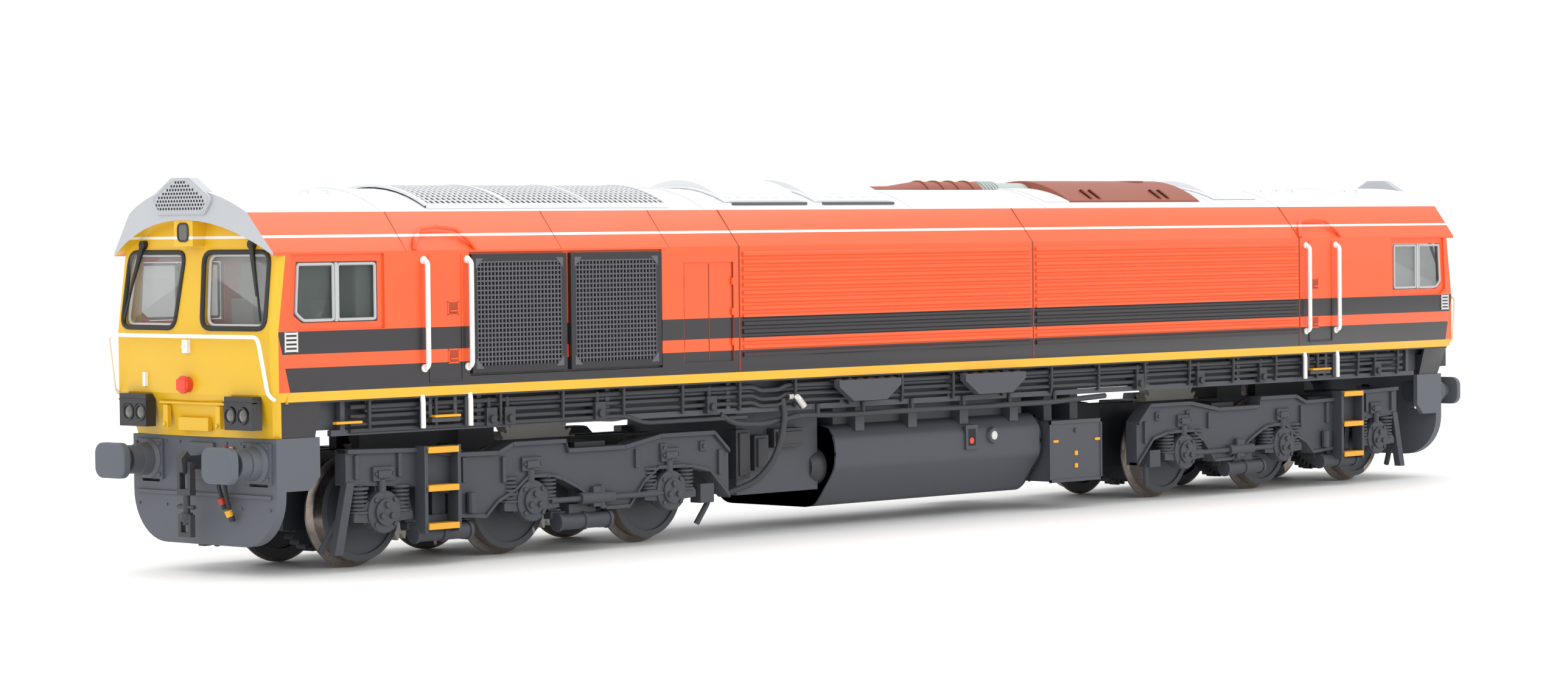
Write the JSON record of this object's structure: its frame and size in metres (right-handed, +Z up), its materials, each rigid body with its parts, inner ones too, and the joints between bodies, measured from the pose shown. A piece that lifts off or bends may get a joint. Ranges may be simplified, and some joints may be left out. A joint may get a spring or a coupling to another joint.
{
  "type": "model diesel locomotive",
  "caption": "Model of a six-axle double-cab diesel locomotive on two swivelling geared bogies, with a motor, drive shafts and sprung buffers.",
  "frame": {"origin": "midway along the model and across it, on the plane that the wheel flanges stand on", "axes": "+X towards cab two, +Y to the left when facing cab two, +Z up"},
  "size_m": [0.28, 0.0364, 0.0529],
  "materials": {
    "body_paint": "satin",
    "clear_styrene": "clear moulding",
    "window_frame": "clear moulding with silver frame",
    "etched_black": "etched, painted",
    "roof_grey": "satin",
    "etched_grey": "etched, painted",
    "exhaust_brown": "matt",
    "lamp_black": "satin",
    "white_wire": "painted wire",
    "black_trim": "matt",
    "underframe_paint": "satin",
    "black_steel": "blackened",
    "cab_plastic": "moulded",
    "diecast": "die-cast, blackened",
    "gearcase_plastic": "moulded",
    "board_green": "solder mask",
    "component_black": "moulded",
    "motor_steel": "plated",
    "turned_brass": "turned",
    "gear_plastic": "acetal",
    "wheel_steel": "turned tyre, blackened disc"
  },
  "bodies": {
    "locomotive": {"body_shell": "body_paint", "windscreen_glazing": "clear_styrene", "cab_side_windows": "window_frame", "side_grilles": "etched_black", "roof_radiator_grille": "etched_grey", "roof_hatches": "roof_grey", "exhaust_silencer": "exhaust_brown", "exhaust_flue": "exhaust_brown", "horn_grilles": "etched_grey", "headlight_lenses": "clear_styrene", "lamp_clusters": "lamp_black", "door_handrails": "white_wire", "cab_handrails": "white_wire", "windscreen_wipers": "black_trim", "buffer_beams": "underframe_paint", "buffer_sleeves": "underframe_paint", "drawhooks": "black_steel", "brake_hoses": "black_trim", "cab_interiors": "cab_plastic", "chassis_frame": "diecast", "chassis_screws": "black_steel", "ballast_weights": "diecast", "fuel_tank": "underframe_paint", "battery_box": "underframe_paint", "underframe_pipework": "underframe_paint", "underframe_steps": "underframe_paint", "circuit_board": "board_green", "decoder": "component_black", "speaker": "component_black", "motor_can": "motor_steel", "motor_bearings": "turned_brass"},
    "rotor": {"motor_shaft": "motor_steel", "armature": "motor_steel", "flywheels": "turned_brass"},
    "bogie_one": {"bogie_frame_one": "gearcase_plastic", "bogie_sides_one": "underframe_paint"},
    "drive_shaft_one": {"drive_shaft_one": "gear_plastic"},
    "worm_one": {"worm_one": "turned_brass"},
    "worm_wheel_one": {"worm_wheel_one": "gear_plastic"},
    "outer_idler_one": {"outer_idler_one": "gear_plastic"},
    "inner_idler_one": {"inner_idler_one": "gear_plastic"},
    "outer_wheelset_one": {"outer_wheelset_one": "wheel_steel"},
    "middle_wheelset_one": {"middle_wheelset_one": "wheel_steel"},
    "inner_wheelset_one": {"inner_wheelset_one": "wheel_steel"},
    "buffer_one_right": {"buffer_one_right": "black_steel"},
    "buffer_one_left": {"buffer_one_left": "black_steel"},
    "coupling_link_one": {"coupling_link_one": "black_steel"},
    "bogie_two": {"bogie_frame_two": "gearcase_plastic", "bogie_sides_two": "underframe_paint"},
    "drive_shaft_two": {"drive_shaft_two": "gear_plastic"},
    "worm_two": {"worm_two": "turned_brass"},
    "worm_wheel_two": {"worm_wheel_two": "gear_plastic"},
    "outer_idler_two": {"outer_idler_two": "gear_plastic"},
    "inner_idler_two": {"inner_idler_two": "gear_plastic"},
    "outer_wheelset_two": {"outer_wheelset_two": "wheel_steel"},
    "middle_wheelset_two": {"middle_wheelset_two": "wheel_steel"},
    "inner_wheelset_two": {"inner_wheelset_two": "wheel_steel"},
    "buffer_two_right": {"buffer_two_right": "black_steel"},
    "buffer_two_left": {"buffer_two_left": "black_steel"},
    "coupling_link_two": {"coupling_link_two": "black_steel"}
  },
  "joints": [
    {"name": "motor_spin", "type": "hinge", "parent": "locomotive", "child": "rotor", "pos_m": [0, 0, 0.02802], "axis": [1, 0, 0], "continuous": true},
    {"name": "bogie_one_yaw", "type": "hinge", "parent": "locomotive", "child": "bogie_one", "pos_m": [-0.087, 0, 0.018], "axis": [0, 0, 1], "range_deg": [-11.5, 11.5]},
    {"name": "drive_shaft_one_spin", "type": "hinge", "parent": "locomotive", "child": "drive_shaft_one", "pos_m": [-0.06, 0, 0.02802], "axis": [1, 0, 0], "continuous": true},
    {"name": "worm_one_spin", "type": "hinge", "parent": "bogie_one", "child": "worm_one", "pos_m": [-0.10057, 0, 0.02802], "axis": [1, 0, 0], "continuous": true},
    {"name": "worm_wheel_one_spin", "type": "hinge", "parent": "bogie_one", "child": "worm_wheel_one", "pos_m": [-0.10057, 0, 0.02282], "axis": [0, 1, 0], "continuous": true},
    {"name": "outer_idler_one_spin", "type": "hinge", "parent": "bogie_one", "child": "outer_idler_one", "pos_m": [-0.10057, 0, 0.01122], "axis": [0, 1, 0], "continuous": true},
    {"name": "inner_idler_one_spin", "type": "hinge", "parent": "bogie_one", "child": "inner_idler_one", "pos_m": [-0.07343, 0, 0.01122], "axis": [0, 1, 0], "continuous": true},
    {"name": "outer_wheelset_one_spin", "type": "hinge", "parent": "bogie_one", "child": "outer_wheelset_one", "pos_m": [-0.11415, 0, 0.0078], "axis": [0, 1, 0], "continuous": true},
    {"name": "middle_wheelset_one_spin", "type": "hinge", "parent": "bogie_one", "child": "middle_wheelset_one", "pos_m": [-0.087, 0, 0.0078], "axis": [0, 1, 0], "continuous": true},
    {"name": "inner_wheelset_one_spin", "type": "hinge", "parent": "bogie_one", "child": "inner_wheelset_one", "pos_m": [-0.05985, 0, 0.0078], "axis": [0, 1, 0], "continuous": true},
    {"name": "buffer_one_right_slide", "type": "slide", "parent": "locomotive", "child": "buffer_one_right", "axis": [1, 0, 0], "range_m": [0, 0.0015], "stiffness_N_per_m": 400, "springref_m": -0.0002},
    {"name": "buffer_one_left_slide", "type": "slide", "parent": "locomotive", "child": "buffer_one_left", "axis": [1, 0, 0], "range_m": [0, 0.0015], "stiffness_N_per_m": 400, "springref_m": -0.0002},
    {"name": "coupling_link_one_swing", "type": "hinge", "parent": "locomotive", "child": "coupling_link_one", "pos_m": [-0.136, 0, 0.0147], "axis": [0, 1, 0], "range_deg": [-6, 80]},
    {"name": "bogie_two_yaw", "type": "hinge", "parent": "locomotive", "child": "bogie_two", "pos_m": [0.087, 0, 0.018], "axis": [0, 0, 1], "range_deg": [-11.5, 11.5]},
    {"name": "drive_shaft_two_spin", "type": "hinge", "parent": "locomotive", "child": "drive_shaft_two", "pos_m": [0.06, 0, 0.02802], "axis": [1, 0, 0], "continuous": true},
    {"name": "worm_two_spin", "type": "hinge", "parent": "bogie_two", "child": "worm_two", "pos_m": [0.10057, 0, 0.02802], "axis": [1, 0, 0], "continuous": true},
    {"name": "worm_wheel_two_spin", "type": "hinge", "parent": "bogie_two", "child": "worm_wheel_two", "pos_m": [0.10057, 0, 0.02282], "axis": [0, 1, 0], "continuous": true},
    {"name": "outer_idler_two_spin", "type": "hinge", "parent": "bogie_two", "child": "outer_idler_two", "pos_m": [0.10057, 0, 0.01122], "axis": [0, 1, 0], "continuous": true},
    {"name": "inner_idler_two_spin", "type": "hinge", "parent": "bogie_two", "child": "inner_idler_two", "pos_m": [0.07343, 0, 0.01122], "axis": [0, 1, 0], "continuous": true},
    {"name": "outer_wheelset_two_spin", "type": "hinge", "parent": "bogie_two", "child": "outer_wheelset_two", "pos_m": [0.11415, 0, 0.0078], "axis": [0, 1, 0], "continuous": true},
    {"name": "middle_wheelset_two_spin", "type": "hinge", "parent": "bogie_two", "child": "middle_wheelset_two", "pos_m": [0.087, 0, 0.0078], "axis": [0, 1, 0], "continuous": true},
    {"name": "inner_wheelset_two_spin", "type": "hinge", "parent": "bogie_two", "child": "inner_wheelset_two", "pos_m": [0.05985, 0, 0.0078], "axis": [0, 1, 0], "continuous": true},
    {"name": "buffer_two_right_slide", "type": "slide", "parent": "locomotive", "child": "buffer_two_right", "axis": [-1, 0, 0], "range_m": [0, 0.0015], "stiffness_N_per_m": 400, "springref_m": -0.0002},
    {"name": "buffer_two_left_slide", "type": "slide", "parent": "locomotive", "child": "buffer_two_left", "axis": [-1, 0, 0], "range_m": [0, 0.0015], "stiffness_N_per_m": 400, "springref_m": -0.0002},
    {"name": "coupling_link_two_swing", "type": "hinge", "parent": "locomotive", "child": "coupling_link_two", "pos_m": [0.136, 0, 0.0147], "axis": [0, -1, 0], "range_deg": [-6, 80]}
  ],
  "couplings": [
    {"joint": "drive_shaft_one_spin", "follows": "motor_spin", "ratio": 1},
    {"joint": "worm_one_spin", "follows": "motor_spin", "ratio": 1},
    {"joint": "worm_wheel_one_spin", "follows": "motor_spin", "ratio": -0.0625},
    {"joint": "outer_idler_one_spin", "follows": "motor_spin", "ratio": 0.02381},
    {"joint": "inner_idler_one_spin", "follows": "motor_spin", "ratio": 0.02381},
    {"joint": "outer_wheelset_one_spin", "follows": "motor_spin", "ratio": -0.035714},
    {"joint": "middle_wheelset_one_spin", "follows": "motor_spin", "ratio": -0.035714},
    {"joint": "inner_wheelset_one_spin", "follows": "motor_spin", "ratio": -0.035714},
    {"joint": "drive_shaft_two_spin", "follows": "motor_spin", "ratio": 1},
    {"joint": "worm_two_spin", "follows": "motor_spin", "ratio": 1},
    {"joint": "worm_wheel_two_spin", "follows": "motor_spin", "ratio": -0.0625},
    {"joint": "outer_idler_two_spin", "follows": "motor_spin", "ratio": 0.02381},
    {"joint": "inner_idler_two_spin", "follows": "motor_spin", "ratio": 0.02381},
    {"joint": "outer_wheelset_two_spin", "follows": "motor_spin", "ratio": -0.035714},
    {"joint": "middle_wheelset_two_spin", "follows": "motor_spin", "ratio": -0.035714},
    {"joint": "inner_wheelset_two_spin", "follows": "motor_spin", "ratio": -0.035714}
  ]
}
